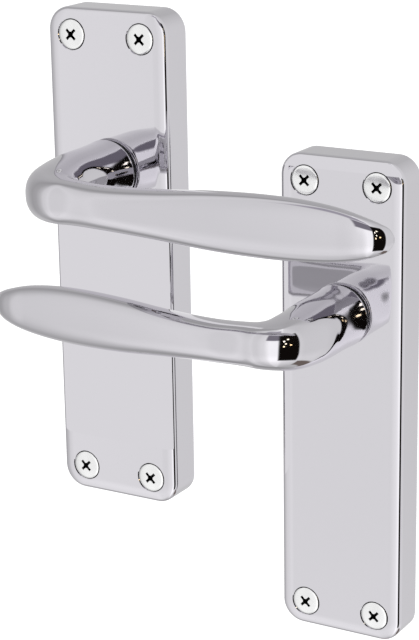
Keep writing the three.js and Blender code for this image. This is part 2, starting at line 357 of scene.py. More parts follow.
@dataclass(frozen=True)
class PolishedMetal:
    """A buffed, plated metal: mirror bright, with the faint haze and ripple that buffing leaves."""

    name: str
    colour: str
    roughness: float
    haze: float  # how much rougher the hazy patches are
    ripple_mm: float
    ripple_strength: float
    haze_mm: float = 14.0
    ripple_deep_mm: float = 0.02

    def material(self) -> bpy.types.Material:
        """Builds the node material.

        Returns:
            The material.
        """
        made, tree, shader = bare_material(self.name)
        shader.inputs["Base Color"].default_value = linear(self.colour)
        shader.inputs["Metallic"].default_value = 1.0
        place = add_node(tree, "ShaderNodeTexCoord", {})
        cloud = add_node(
            tree,
            "ShaderNodeTexNoise",
            {"Scale": 1 / (self.haze_mm * MM), "Detail": 3.0, "Roughness": 0.6},
            Vector=place.outputs["Object"],
        )
        low, high = self.roughness, self.roughness + self.haze
        haze = add_node(
            tree,
            "ShaderNodeMapRange",
            {"From Min": 0.3, "From Max": 0.7, "To Min": low, "To Max": high},
            Value=cloud.outputs["Fac"],
        )
        tree.links.new(haze.outputs["Result"], shader.inputs["Roughness"])
        wave = add_node(
            tree,
            "ShaderNodeTexNoise",
            {"Scale": 1 / (self.ripple_mm * MM), "Detail": 1.0},
            Vector=place.outputs["Object"],
        )
        bump = add_node(
            tree,
            "ShaderNodeBump",
            {"Strength": self.ripple_strength, "Distance": self.ripple_deep_mm * MM},
            Height=wave.outputs["Fac"],
        )
        tree.links.new(bump.outputs["Normal"], shader.inputs["Normal"])
        return made


@dataclass(frozen=True)
class Grained:
    """What a grain does to a surface: two colours mingle, and its roughness and bump follow the grain."""

    colours: tuple[str, str]
    roughness: tuple[float, float]
    bump: float
    deep_mm: float

    def wear(
        self,
        tree: bpy.types.NodeTree,
        shader: bpy.types.Node,
        grain: bpy.types.NodeSocket,
        mottle: bpy.types.NodeSocket,
    ) -> None:
        """Links the grain to a shader.

        Args:
            tree: the material's node tree.
            shader: its main shader.
            grain: the socket that holds the grain.
            mottle: the socket that mingles the two colours.
        """
        tint = add_node(tree, "ShaderNodeMix", {"data_type": "RGBA"})
        tint.inputs[6].default_value = linear(self.colours[0])
        tint.inputs[7].default_value = linear(self.colours[1])
        tree.links.new(mottle, tint.inputs[0])
        tree.links.new(tint.outputs[2], shader.inputs["Base Color"])
        low, high = self.roughness
        rough = add_node(tree, "ShaderNodeMapRange", {"To Min": low, "To Max": high}, Value=grain)
        tree.links.new(rough.outputs["Result"], shader.inputs["Roughness"])
        bump = add_node(
            tree, "ShaderNodeBump", {"Strength": self.bump, "Distance": self.deep_mm * MM}, Height=grain
        )
        tree.links.new(bump.outputs["Normal"], shader.inputs["Normal"])


@dataclass(frozen=True)
class BrushedMetal:
    """A pressed or turned steel with a fine directional grain and small stains."""

    name: str
    colour: str
    stain: str
    roughness: float
    grain_mm: float
    stain_mm: float = 6.0
    stretch: float = 0.06  # how much coarser the grain is along Z

    def material(self) -> bpy.types.Material:
        """Builds the node material.

        Returns:
            The material.
        """
        made, tree, shader = bare_material(self.name)
        shader.inputs["Metallic"].default_value = 1.0
        place = add_node(tree, "ShaderNodeTexCoord", {})
        stretched = add_node(
            tree, "ShaderNodeMapping", {"Scale": (1.0, 1.0, self.stretch)}, Vector=place.outputs["Object"]
        )
        grain = add_node(
            tree,
            "ShaderNodeTexNoise",
            {"Scale": 1 / (self.grain_mm * MM), "Detail": 2.0},
            Vector=stretched.outputs["Vector"],
        )
        stains = add_node(
            tree,
            "ShaderNodeTexNoise",
            {"Scale": 1 / (self.stain_mm * MM), "Detail": 4.0},
            Vector=place.outputs["Object"],
        )
        rough = (self.roughness - 0.08, self.roughness + 0.12)
        grained = Grained((self.colour, self.stain), rough, 0.25, 0.03)
        grained.wear(tree, shader, grain.outputs["Fac"], stains.outputs["Fac"])
        return made


@dataclass(frozen=True)
class MouldedPlastic:
    """A moulded nylon: a soft sheen over a fine spark-eroded texture."""

    name: str
    colour: str
    mottle: str
    roughness: float
    grain_mm: float
    ior: float = 1.53

    def material(self) -> bpy.types.Material:
        """Builds the node material.

        Returns:
            The material.
        """
        made, tree, shader = bare_material(self.name)
        shader.inputs["IOR"].default_value = self.ior
        place = add_node(tree, "ShaderNodeTexCoord", {})
        grain = add_node(
            tree,
            "ShaderNodeTexNoise",
            {"Scale": 1 / (self.grain_mm * MM), "Detail": 2.0},
            Vector=place.outputs["Object"],
        )
        rough = (self.roughness - 0.05, self.roughness + 0.1)
        grained = Grained((self.colour, self.mottle), rough, 0.4, 0.02)
        grained.wear(tree, shader, grain.outputs["Fac"], grain.outputs["Fac"])
        return made


@dataclass
class Finishes:
    """Every finish on the pair, made once and shared."""

    chrome: bpy.types.Material = field(init=False)
    lever_chrome_painted_darker: bpy.types.Material = field(init=False)
    screw_chrome: bpy.types.Material = field(init=False)
    zinc: bpy.types.Material = field(init=False)
    spring: bpy.types.Material = field(init=False)
    black_steel: bpy.types.Material = field(init=False)
    nylon: bpy.types.Material = field(init=False)
    black_nylon: bpy.types.Material = field(init=False)

    def __post_init__(self) -> None:
        """Builds the materials."""
        # Bright chromium plate on polished zinc alloy: a cool mirror that holds every tone around it.
        self.chrome = PolishedMetal("polished_chrome_plate", "#D6D4D9", 0.03, 0.02, 9.0, 0.04).material()
        # The same plate on the lever, coloured a touch deeper in tone as painted shade.
        self.lever_chrome_painted_darker = PolishedMetal("chrome_plate_painted_darker", "#D0CED3", 0.03, 0.03, 7.0, 0.05).material()
        # Chromium plate on a stamped screw head: as bright, but rougher from the barrel plating.
        self.screw_chrome = PolishedMetal("barrel_chrome_plate", "#F0F0F0", 0.2, 0.08, 1.2, 0.2).material()
        # Zinc-plated pressed steel: a pale, slightly blue grey with rolling marks.
        self.zinc = BrushedMetal("zinc_plated_steel", "#B4B7BA", "#8E9092", 0.36, 0.25).material()
        # Oiled spring steel: darker and sleeker than the plated parts.
        self.spring = BrushedMetal("oiled_spring_steel", "#7A7A78", "#57544F", 0.3, 0.2).material()
        # Black oxide on an alloy steel grub screw, a soft black that still glints; also painted shade in the
        # screws' cross recesses.
        self.black_steel = BrushedMetal("black_oxide_and_painted_recess_shade", "#2B2B2E", "#1C1A19", 0.4, 0.15).material()
        # Natural nylon: a milky off-white with a soft sheen.
        self.nylon = MouldedPlastic("natural_nylon", "#E6E2D6", "#D8D2C2", 0.45, 0.3).material()
        # Black nylon washer: its black is painted shade, the dark line of the shadowed gap round the lever's
        # neck.
        self.black_nylon = MouldedPlastic("black_nylon", "#17171A", "#222226", 0.5, 0.3).material()


# --- the pieces --------------------------------------------------------------------------------


@dataclass(frozen=True)
class Backplate:
    """The cast backplate: pillowed front edge, countersunk holes, ribbed open back. Sizes in millimetres."""

    site: Site
    corner: float = 7.0
    edge_width: float = 4.4
    edge_slope: float = 17.0  # degrees at the pillow's foot
    edge_round: float = 1.5
    wall: float = 2.6
    skin_thick: float = 3.0
    rib: float = 3.0
    rib_heights: tuple[float, ...] = (-38.0, 0.0, 54.5)
    hub: float = 12.0
    hub_back: float = -6.0
    bore: float = 9.2
    screw_mouth: float = 4.8
    screw_hole: float = 2.25
    screw_boss: float = 5.3
    cover_boss: float = 2.8
    cover_boss_back: float = -3.35
    cover_hole: float = 1.2
    cover_hole_front: float = -7.5
    post: float = 1.6
    post_at: float = 19.0
    post_back: float = -3.4
    lug_half: float = 2.5
    wire: float = 0.55
    gap: float = 0.1
    travel: float = 40.0  # degrees the lever turns

    def post_angles(self) -> list[float]:
        """Angles of the two stops beside the cam's lug and of the post that anchors the spring."""
        beside = math.asin((self.lug_half + self.post + self.gap) / self.post_at)
        anchor = math.pi + math.asin((self.post + self.wire + self.gap) / self.post_at)
        return [-beside, beside + math.radians(self.travel), anchor]

    def outside(self) -> bmesh.types.BMesh:
        """The plate's outer skin, from the back rim over the pillowed edge to the flat front.

        Returns:
            A closed bmesh.
        """
        size = self.site.plate_size
        slope, radius = math.radians(self.edge_slope), self.edge_round
        shallow = self.edge_width - radius * (1 - math.sin(slope))
        bow = 0.5 * math.tan(slope) / shallow
        foot = size.y - bow * shallow**2
        round_steps, bow_steps, smallest_corner = 8, 16, 0.4
        stations = [(0.0, 0.0), (0.0, -(foot - radius * math.cos(slope)) * 0.5)]
        for i in range(round_steps + 1):
            angle = slope + (math.pi / 2 - slope) * (1 - i / round_steps)
            depth = foot + radius * (math.cos(angle) - math.cos(slope))
            stations.append((radius * (1 - math.sin(angle)), -depth))
        for i in range(1, bow_steps + 1):
            along = shallow * i / bow_steps
            inset = radius * (1 - math.sin(slope)) + along
            stations.append((inset, -(size.y - bow * (shallow - along) ** 2)))
        rings = []
        for inset, y in stations:
            corner = max(self.corner - inset, smallest_corner)
            rings.append(rounded_outline(size.x - 2 * inset, size.z - 2 * inset, corner, y))
        return skin(rings)

    def tools(self) -> Iterable[tuple[Join, bmesh.types.BMesh]]:
        """What turns the outer skin into the ribbed shell with its holes.

        Returns:
            The joins and cuts in order.
        """
        size = self.site.plate_size
        axis = self.site.axis_z
        inside = -(size.y - self.skin_thick)
        width, height = size.x - 2 * self.wall, size.z - 2 * self.wall
        hollow = [rounded_outline(width, height, self.corner - self.wall, y) for y in (inside, CLEAR)]
        yield Join.CUT, skin(hollow)
        reach = size.x / 2 - self.wall / 2
        for z in self.rib_heights:
            low, high = (-reach, inside - WELD, z - self.rib / 2), (reach, 0.0, z + self.rib / 2)
            yield Join.ADD, box_mesh(low, high)
        yield Join.ADD, bar(self.hub, inside - WELD, self.hub_back, 0, axis)
        mouth, hole, front = self.screw_mouth, self.screw_hole, -size.y
        for name in WoodScrew.NAMES:
            spot = self.site.local_middle(name)
            yield Join.ADD, bar(self.screw_boss, inside - WELD, 0.0, spot.x, spot.z, 48)
            cone = [(0, front - CLEAR), (mouth, front - CLEAR), (mouth, front), (hole, front + mouth - hole)]
            yield Join.CUT, turned([*cone, (hole, CLEAR), (0, CLEAR)], spot.x, spot.z, 64)
        for angle in self.post_angles():
            x, z = self.post_at * math.sin(angle), axis + self.post_at * math.cos(angle)
            yield Join.ADD, bar(self.post, inside - WELD, self.post_back, x, z, 32)
        for name in ("cover_screw_upper", "cover_screw_lower"):
            spot = self.site.local_middle(name)
            yield Join.ADD, bar(self.cover_boss, inside - WELD, self.cover_boss_back, spot.x, spot.z, 40)
            yield Join.CUT, bar(self.cover_hole, self.cover_hole_front, 0, spot.x, spot.z, 24)
        yield Join.CUT, bar(self.bore, front - CLEAR, CLEAR, 0, axis, 96)

    def build(self, finishes: Finishes) -> bpy.types.Object:
        """Makes, dresses and places the plate.

        Args:
            finishes: the shared materials.

        Returns:
            The plate's object.
        """
        obj = as_object(self.outside(), self.site.hand.node("backplate_cast"))
        worked(obj, self.tools())
        finish_mesh(obj, self.site.matrix, crease=34)
        dress(obj, finishes.chrome)
        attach(obj, "plates")
        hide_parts(self.site.hand.node("backplate"))
        return obj


@dataclass(frozen=True)
class Station:
    """One ring of the lever: where its middle is, how it is turned and how big it is."""

    x: float
    out: float
    drop: float
    turn: float
    high: float
    thick: float


@dataclass(frozen=True)
class Lever:
    """The lever: round neck, tight elbow and leaf-shaped grip, cast in one with its spigot. Millimetres."""

    site: Site
    neck: float = 9.8
    grip_out: float = 36.3
    tip_out: float = 27.2
    length: float = 106.5
    elbow_x: float = 11.0  # the elbow's inner corner
    elbow_out: float = 28.5
    start: float = 0.8  # gap from the plate's front to the neck
    base_round: float = 1.0
    squareness: float = 0.4
    spigot: float = 8.0
    spigot_back: float = -5.1
    stub: float = 7.0
    stub_front: float = -5.6
    stub_back: float = -0.3
    flat: float = 6.2
    groove: tuple[float, float] = (-1.35, -0.45)
    groove_deep: float = 0.6
    socket: float = 8.2
    socket_front: float = -27.0
    grub: float = 2.5
    grub_out: float = 7.0
    grub_reach: tuple[float, float] = (-18.0, -2.0)
    sides: int = 96
    rings: int = 260

    def elbow(self, turn: float, near: float, far: float, drop: float, high: float) -> Station:
        """A ring of the elbow, turned about its inner corner.

        Args:
            turn: how far it has turned, in degrees.
            near: distance from the corner to the near skin.
            far: distance from the corner to the far skin.
            drop: how far its middle is below the axis.
            high: its half height.

        Returns:
            The ring's station.
        """
        angle, middle = math.radians(turn), (near + far) / 2
        x = self.elbow_x - middle * math.cos(angle)
        return Station(x, self.elbow_out + middle * math.sin(angle), drop, turn, high, (far - near) / 2)

    def stations(self) -> list[Station]:
        """The rings that the lever's shape hangs on, from the plate to the tip."""
        grip, tip = self.grip_out, self.tip_out
        return [
            Station(0, self.start, 0, 0, self.neck, self.neck),
            Station(0, 4, 0, 0, 9.45, 9.4),
            Station(0, 9, 0, 0, 9.25, 9.08),
            Station(0, 18, 0, 0, 9.08, 9.02),
            Station(0.2, 26, 0.1, 0, 8.4, 8.9),
            self.elbow(20, 1.6, 18.2, 0.2, 7.8),
            self.elbow(45, 1.8, 16.1, 0.4, 7.1),
            self.elbow(68, 2.2, 14.4, 0.5, 6.7),
            self.elbow(88, 2.4, 13, 0.6, 6.5),
            Station(22, grip + 0.3, 0.9, 90, 6.3, 5.1),
            Station(38, grip - 0.2, 1.1, 90, 7.0, 4.7),
            Station(55, grip - 1.8, 1.4, 90, 8.3, 4.5),
            Station(70, grip - 3.5, 1.7, 90, 8.8, 4.2),
            Station(82, grip - 4.9, 2, 90, 8.5, 3.9),
            Station(92, grip - 5.9, 2.3, 90, 7.4, 3.4),
            Station(98.5, grip - 6.5, 2.5, 90, 5.9, 3),
            Station(102.8, tip + 1.7, 2.6, 90, 4.4, 2.5),
            Station(105.4, tip + 0.5, 2.7, 90, 2.9, 1.6),
            Station(self.length, tip - 0.2, 2.7, 90, 0.9, 0.5),
        ]

    def surface(self) -> bmesh.types.BMesh:
        """The lever's outer skin.

        Returns:
            A closed bmesh in the handle's millimetres.
        """
        track = Spline([(s.x, s.out, s.drop, s.turn, s.high, s.thick) for s in self.stations()])
        root = Vector((0, -self.site.plate_size.y, self.site.axis_z))
        rings = []
        base_steps = 8
        for i in range(base_steps):
            angle = math.pi / 2 * i / base_steps
            size = self.neck - self.base_round * (1 - math.sin(angle))
            out = self.start + self.base_round * (1 - math.cos(angle))
            rings.append(self.ring(root, 2.0, 0.0, out, 0.0, 0.0, size, size))
        for i in range(self.rings):
            along = i / (self.rings - 1)
            power = 2 + self.squareness * math.sqrt(math.sin(math.pi * along))
            x, out, *rest = track.at(along)
            if x > 1 or out > self.start + self.base_round:
                rings.append(self.ring(root, power, x, out, *rest))
        return skin(rings)

    def ring(
        self,
        root: Vector,
        power: float,
        x: float,
        out: float,
        drop: float,
        turn: float,
        high: float,
        thick: float,
    ) -> Ring:
        """One loop of the lever's skin.

        Args:
            root: where the axis meets the plate's front.
            power: 2 for a round section, more for a squarer one.
            x: its middle's x.
            out: how far its middle stands out of the plate.
            drop: how far its middle is below the axis.
            turn: how far it has turned from the neck to the grip, in degrees.
            high: its half height.
            thick: its half thickness.

        Returns:
            Its points.
        """
        angle = math.radians(turn)
        aside = Vector((-math.cos(angle), -math.sin(angle), 0))
        middle = root + Vector((x, -out, -drop))
        points = []
        for j in range(self.sides):
            around = TURN * j / self.sides
            across, up = self.squared(math.sin(around), power), self.squared(math.cos(around), power)
            points.append(middle + aside * (thick * across) + Vector((0, 0, high * up)))
        return points

    @staticmethod
    def squared(value: float, power: float) -> float:
        """A unit circle's coordinate moved out towards a rounded square."""
        return math.copysign(abs(value) ** (2 / power), value)

    def tools(self) -> Iterable[tuple[Join, bmesh.types.BMesh]]:
        """The spigot, the flatted stub, the circlip's groove, the square socket and the grub screw's hole."""
        front = -self.site.plate_size.y
        axis = self.site.axis_z
        half = self.socket / 2
        root = front - self.start - self.base_round
        yield Join.ADD, bar(self.spigot, root, self.spigot_back, 0, axis)
        arc = math.acos(self.flat / self.stub)
        arc_steps = 24
        outline = []
        for start in (arc, math.pi + arc):
            for i in range(arc_steps + 1):
                angle = start + (math.pi - 2 * arc) * i / arc_steps
                outline.append((self.stub * math.cos(angle), axis + self.stub * math.sin(angle)))
        ends = (self.stub_front, self.stub_back)
        yield Join.ADD, skin([[Vector((x, y, z)) for x, z in outline] for y in ends])
        inner, outer = self.stub - self.groove_deep, self.stub + 2 * CLEAR
        near, far = self.groove
        yield Join.CUT, turned([(inner, near), (outer, near), (outer, far), (inner, far)], 0, axis)
        yield Join.CUT, box_mesh((-half, self.socket_front, axis - half), (half, CLEAR, axis + half))
        turns = [TURN * i / 32 for i in range(32)]
        hole = [(self.grub * math.cos(a), front - self.grub_out + self.grub * math.sin(a)) for a in turns]
        yield Join.CUT, skin([[Vector((x, y, axis + z)) for x, y in hole] for z in self.grub_reach])

    def build(self, finishes: Finishes) -> bpy.types.Object:
        """Makes, dresses and places the lever.

        Args:
            finishes: the shared materials.

        Returns:
            The lever's object.
        """
        obj = as_object(self.surface(), self.site.hand.node("lever_cast"))
        worked(obj, self.tools())
        finish_mesh(obj, self.site.matrix, crease=38)
        # The lever takes the darker chrome, coloured darker as painted shade.
        dress(obj, finishes.lever_chrome_painted_darker)
        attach(obj, f"{self.site.hand.side}_lever_body")
        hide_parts(self.site.hand.node("lever"))
        return obj


@dataclass(frozen=True)
class Spline:
    """A smooth run of number tuples, passing through each."""

    rows: Sequence[tuple[float, ...]]

    def at(self, share: float) -> tuple[float, ...]:
        """The tuple at a share of the way along.

        Args:
            share: from 0 at the first row to 1 at the last.

        Returns:
            The interpolated values.
        """
        last = len(self.rows) - 1
        place = min(max(share, 0), 1) * last
        i = min(int(place), last - 1)
        t = place - i
        before, start, end, after = (self.rows[min(max(k, 0), last)] for k in (i - 1, i, i + 1, i + 2))
        spans = [self.span(a, b) for a, b in ((before, start), (start, end), (end, after))]
        values = []
        for a, b, c, d in zip(before, start, end, after):
            slope_in = self.slope(a, b, c, spans[0], spans[1]) * spans[1]
            slope_out = self.slope(b, c, d, spans[1], spans[2]) * spans[1]
            bend = -3 * b + 3 * c - 2 * slope_in - slope_out
            values.append(b + slope_in * t + bend * t * t + (2 * b - 2 * c + slope_in + slope_out) * t**3)
        return tuple(values)

    @staticmethod
    def span(a: Sequence[float], b: Sequence[float]) -> float:
        """How far apart two rows count as, from where their middles stand."""
        return max(math.dist(a[:3], b[:3]) ** 0.5, 1e-3)

    @staticmethod
    def slope(a: float, b: float, c: float, before: float, after: float) -> float:
        """The slope through the middle one of three values, given the two spans."""
        return (b - a) / before - (c - a) / (before + after) + (c - b) / after


@dataclass(frozen=True)
class WoodScrew:
    """A countersunk wood screw: domed head with a cross recess, plain neck, coarse thread."""

    NAMES = ("screw_top_inner", "screw_top_outer", "screw_bottom_inner", "screw_bottom_outer")

    site: Site
    name: str
    head: float = 4.4
    dome: float = 0.45
    rim: float = 0.12  # height of the head's edge
    cone: float = 2.45  # depth of the countersink
    shank: float = 1.7
    thread_from: float = 6.3  # depth of the first thread
    thread: float = 0.32
    pitch: float = 1.6
    back: float = 13.0
    taper: float = 5.0
    # how far round and how deep the cross-recess faces take the painted shade
    painted_shade_reach: float = 2.5
    painted_shade_deep: float = 2.3

    def profile(self, front: float) -> Iterable[tuple[float, float, bool]]:
        """The screw's radius and depth from its dome to its point, and whether the thread runs there.

        Args:
            front: the plate's front, where the head's rim lies.

        Yields:
            Radius, y and True on the threaded part.
        """
        dome_steps, thread_steps, point = 8, 130, 0.12
        yield POINT, front - self.dome, False
        for i in range(1, dome_steps + 1):
            share = i / dome_steps
            yield self.head * share * 0.97, front - self.dome * (1 - share**2.2), False
        yield self.head, front + self.rim, False
        yield self.shank + 0.25, front + self.cone, False
        yield self.shank + 0.2, front + self.thread_from - 0.3, False
        first, last = front + self.thread_from, self.back - 0.4
        for i in range(thread_steps):
            y = first + (last - first) * i / (thread_steps - 1)
            share = min(1.0, max(0.0, (self.back - y) / self.taper))
            yield max(self.shank * share, point), y, True
        yield POINT, self.back, False

    def body(self, x: float, z: float, front: float) -> bmesh.types.BMesh:
        """The head and the threaded shank in one skin.

        Args:
            x: the axis's x.
            z: the axis's z.
            front: the plate's front, where the head's rim lies.

        Returns:
            A closed bmesh.
        """
        sides, full_thread = 48, 0.6
        rings = []
        for radius, y, threaded in self.profile(front):
            ring = []
            for j in range(sides):
                around = TURN * j / sides
                crest = self.thread * self.ridge(y / self.pitch - j / sides) if threaded else 0.0
                r = radius + crest * min(1.0, radius / full_thread)
                ring.append(Vector((x + r * math.sin(around), y, z + r * math.cos(around))))
            rings.append(ring)
        return skin(rings)

    @staticmethod
    def ridge(turns: float) -> float:
        """Height of the thread at a place along its helix, from 0 in the root to 1 on the crest."""
        return max(0.0, 1 - abs((turns % 1) - 0.5) / 0.26)

    def recess(self, x: float, z: float, front: float) -> Iterable[tuple[Join, bmesh.types.BMesh]]:
        """The cross recess, turned like an x and narrowing as it goes in."""
        slots = ((front - CLEAR, 2.2, 0.46), (front - 0.2, 2.05, 0.42), (front + 1.5, 0.9, 0.3))
        for angle in (math.pi / 4, -math.pi / 4):
            place = Matrix.Translation((x, 0, z)) @ Matrix.Rotation(angle, 4, "Y")
            rings = []
            for y, reach, half in slots:
                corners = ((reach, half), (-reach, half), (-reach, -half), (reach, -half))
                rings.append([place @ Vector((cx, y, cz)) for cx, cz in corners])
            yield Join.CUT, skin(rings)
        middle = [(0, front - CLEAR), (0.95, front - CLEAR), (0.6, front + 1.9), (0, front + 2.1)]
        yield Join.CUT, turned(middle, x, z, 24)

    def build(self, finishes: Finishes) -> bpy.types.Object:
        """Makes, dresses and places the screw.

        Args:
            finishes: the shared materials.

        Returns:
            The screw's object.
        """
        spot = self.site.local_middle(self.name)
        front = -self.site.plate_size.y
        obj = as_object(self.body(spot.x, spot.z, front), self.site.hand.node(self.name + "_turned"))
        worked(obj, self.recess(spot.x, spot.z, front))
        finish_mesh(obj, self.site.matrix, crease=35)
        dress(obj, finishes.screw_chrome)
        # The faces inside the cross recess take the black finish as painted shade for the shadowed recess.
        obj.data.materials.append(finishes.black_steel)
        middle = self.site.matrix @ Vector((spot.x, front, spot.z))
        for polygon in obj.data.polygons:
            away = (polygon.center - middle) / MM
            inside = math.hypot(away.x, away.z) < self.painted_shade_reach and 0.05 < away.y < self.painted_shade_deep
            polygon.material_index = int(inside)
        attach(obj, "plates")
        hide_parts(self.site.hand.node(self.name))
        return obj


@dataclass(frozen=True)
class NeckWasher:
    """The thin washer between neck and plate, black as painted shade for the shadowed gap there."""

    site: Site
    inner: float = 8.15
    outer: float = 9.3
    thick: float = 0.7
    lift: float = 0.05
    chamfer: float = 0.15

    def build(self, finishes: Finishes) -> bpy.types.Object:
        """Makes, dresses and places the washer.

        Args:
            finishes: the shared materials.

        Returns:
            The washer's object.
        """
        back = -self.site.plate_size.y - self.lift
        front, edge = back - self.thick, self.outer - self.chamfer
        profile = [
            (self.inner, front),
            (edge, front),
            (self.outer, front + self.chamfer),
            (self.outer, back - self.chamfer),
            (edge, back),
            (self.inner, back),
        ]
        obj = as_object(turned(profile, 0, self.site.axis_z, 96), self.site.hand.node("neck_washer_moulded"))
        finish_mesh(obj, self.site.matrix)
        # Its black is painted shade for the shadowed gap between the neck and the plate.
        dress(obj, finishes.black_nylon)
        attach(obj, "plates")
        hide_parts(self.site.hand.node("neck_washer"))
        return obj


@dataclass(frozen=True)
class ReturnSpring:
    """The torsion spring: round wire coiled about the hub, with a leg at each end."""

    site: Site
    coil: float = 13.6
    wire: float = 0.55
    lug_half: float = 2.5
    gap: float = 0.1
    back: float = -6.05
    front: float = -7.95
    leg: tuple[float, ...] = (-3.5, -4.0, -4.6)
    leg_out: tuple[float, ...] = (1.6, 3.6)
    bend: float = 0.07  # radians the coil leaves to each leg

    def route(self) -> list[Vector]:
        """The wire's middle line in the handle's millimetres."""
        start = math.asin((self.lug_half + self.wire + self.gap) / self.coil)
        end = 3 * math.pi
        steps = 90
        places = [(self.coil, start, y) for y in self.leg]
        for i in range(steps + 1):
            share = i / steps
            angle = start + self.bend + (end - start - 2 * self.bend) * share
            places.append((self.coil, angle, self.back + (self.front - self.back) * share))
        places += [(self.coil + out, end, self.front) for out in self.leg_out]
        axis = self.site.axis_z
        return [Vector((r * math.sin(a), y, axis + r * math.cos(a))) for r, a, y in places]

    def build(self, finishes: Finishes) -> bpy.types.Object:
        """Makes, dresses and places the spring.

        Args:
            finishes: the shared materials.

        Returns:
            The spring's object.
        """
        curve = bpy.data.curves.new(self.site.hand.node("return_spring_wire"), "CURVE")
        curve.dimensions = "3D"
        curve.bevel_depth = self.wire * MM
        curve.bevel_resolution = 4
        curve.use_fill_caps = True
        points = [self.site.matrix @ p for p in self.route()]
        spline = curve.splines.new("POLY")
        spline.points.add(len(points) - 1)
        for point, place in zip(spline.points, points):
            point.co = (*place, 1)
        spline.use_smooth = True
        obj = bpy.data.objects.new(curve.name, curve)
        bpy.context.collection.objects.link(obj)
        curve.materials.append(finishes.spring)
        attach(obj, "plates")
        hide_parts(self.site.hand.node("return_spring"))
        return obj


@dataclass(frozen=True)
class Pressing:
    """A small pressed, turned or moulded piece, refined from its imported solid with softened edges."""

    site: Site
    name: str
    suffix: str
    body: str
    slot: str
    material: bpy.types.Material
    soften: float

    def build(self) -> bpy.types.Object:
        """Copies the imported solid, softens its edges, dresses it and places it.

        Returns:
            The piece's object.
        """
        node = self.site.hand.node(self.name)
        bm = bmesh.new()
        bm.from_mesh(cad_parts[node].data)
        bmesh.ops.remove_doubles(bm, verts=bm.verts, dist=1e-6)
        flat = math.radians(1.0)
        bmesh.ops.dissolve_limit(bm, angle_limit=flat, verts=bm.verts, edges=bm.edges)
        obj = as_object(bm, f"{node}_{self.suffix}")
        finish_mesh(obj, Matrix.Identity(4), crease=35, soften=self.soften)
        dress(obj, self.material)
        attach(obj, self.body)
        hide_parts(node)
        return obj


@dataclass(frozen=True)
class Handle:
    """One complete handle."""

    site: Site

    def fittings(self, finishes: Finishes) -> Iterable[Pressing]:
        """The small pieces behind the plate and in the neck."""
        site = self.site
        lever = f"{site.hand.side}_lever_body"
        yield Pressing(site, "bush", "moulded", "plates", "nylon", finishes.nylon, 0.12)
        yield Pressing(site, "cam", "pressed", lever, "steel", finishes.zinc, 0.1)
        yield Pressing(site, "cover", "pressed", "plates", "steel", finishes.zinc, 0.18)
        yield Pressing(site, "thrust_washer", "pressed", lever, "steel", finishes.zinc, 0.08)
        yield Pressing(site, "circlip", "pressed", lever, "spring_steel", finishes.spring, 0.08)
        yield Pressing(site, "grub_screw", "turned", lever, "black_steel", finishes.black_steel, 0.06)
        for name in ("cover_screw_upper", "cover_screw_lower"):
            yield Pressing(site, name, "turned", "plates", "steel", finishes.zinc, 0.06)

    def build(self, finishes: Finishes) -> None:
        """Makes every piece of the handle and reports each.

        Args:
            finishes: the shared materials.
        """
        makers: list[Callable[[], bpy.types.Object]] = [
            lambda: Backplate(self.site).build(finishes),
            lambda: Lever(self.site).build(finishes),
            lambda: NeckWasher(self.site).build(finishes),
            lambda: ReturnSpring(self.site).build(finishes),
        ]
        makers += [lambda n=n: WoodScrew(self.site, n).build(finishes) for n in WoodScrew.NAMES]
        makers += [piece.build for piece in self.fittings(finishes)]
        for make in makers:
            obj = make()
            LOG.info("made %s", obj.name)


# --- the studio --------------------------------------------------------------------------------


def hang_light(
    obj: bpy.types.Object, colour: Sequence[float], strength: float, clear: tuple[str, str, str]
) -> None:
    """Makes an object a flat light that only reflections see.

    Args:
        obj: the card or screen.
        colour: its linear colour.
        strength: how bright it is.
        clear: the node, its attribute's name and its output that say where the light is clear.
    """
    made, tree, shader = bare_material(obj.name)
    tree.nodes.remove(shader)
    kind, attribute, output = clear
    share = add_node(tree, kind, {"attribute_name": attribute} if attribute else {})
    light = add_node(tree, "ShaderNodeEmission", {"Color": colour, "Strength": strength})
    nothing = add_node(tree, "ShaderNodeBsdfTransparent", {})
    mix = add_node(tree, "ShaderNodeMixShader", {}, Fac=share.outputs[output])
    tree.links.new(light.outputs["Emission"], mix.inputs[1])
    tree.links.new(nothing.outputs["BSDF"], mix.inputs[2])
    tree.links.new(mix.outputs["Shader"], tree.nodes["Material Output"].inputs["Surface"])
    obj.data.materials.append(made)
    obj.visible_camera = False
    obj.visible_diffuse = False
    obj.visible_shadow = False


@dataclass(frozen=True)
class Card:
    """A studio card or lamp, part of a globe round the pair: seen only in reflections. Degrees and metres."""

    name: str
    colour: str
    strength: float
    azimuth: tuple[float, float]
    elevation: tuple[float, float]
    away: float = 0.9
    soft: float = 0.0
    middle: Point = (0.032, -0.03, 0.005)
    steps: int = 40

    def fade(self, azimuth: float, elevation: float) -> float:
        """How clear the card is at a place on it, from 1 on a soft edge to 0 inside.

        Args:
            azimuth: the place's azimuth.
            elevation: the place's elevation.

        Returns:
            The share that shows what is behind.
        """
        if not self.soft:
            return 0.0
        sides = ((azimuth, self.azimuth), (elevation, self.elevation))
        near = min(min(value - low, high - value) for value, (low, high) in sides)
        share = min(1.0, near / self.soft)
        return 1 - share * share * (3 - 2 * share)

    def build(self) -> bpy.types.Object:
        """Makes the card and hides it from the camera, diffuse light and shadows.

        Returns:
            The card's object.
        """
        bm = bmesh.new()
        clear = bm.verts.layers.float.new("clear")
        columns = []
        for i in range(self.steps + 1):
            azimuth = self.azimuth[0] + (self.azimuth[1] - self.azimuth[0]) * i / self.steps
            column = []
            for j in range(self.steps + 1):
                elevation = self.elevation[0] + (self.elevation[1] - self.elevation[0]) * j / self.steps
                column.append(bm.verts.new(Vector(self.middle) + direction(azimuth, elevation) * self.away))
                column[-1][clear] = self.fade(azimuth, elevation)
            columns.append(column)
        for near, far in zip(columns, columns[1:]):
            for i in range(self.steps):
                bm.faces.new((near[i], near[i + 1], far[i + 1], far[i]))
        obj = as_object(bm, self.name)
        hang_light(obj, linear(self.colour), self.strength, ("ShaderNodeAttribute", "clear", "Fac"))
        return obj


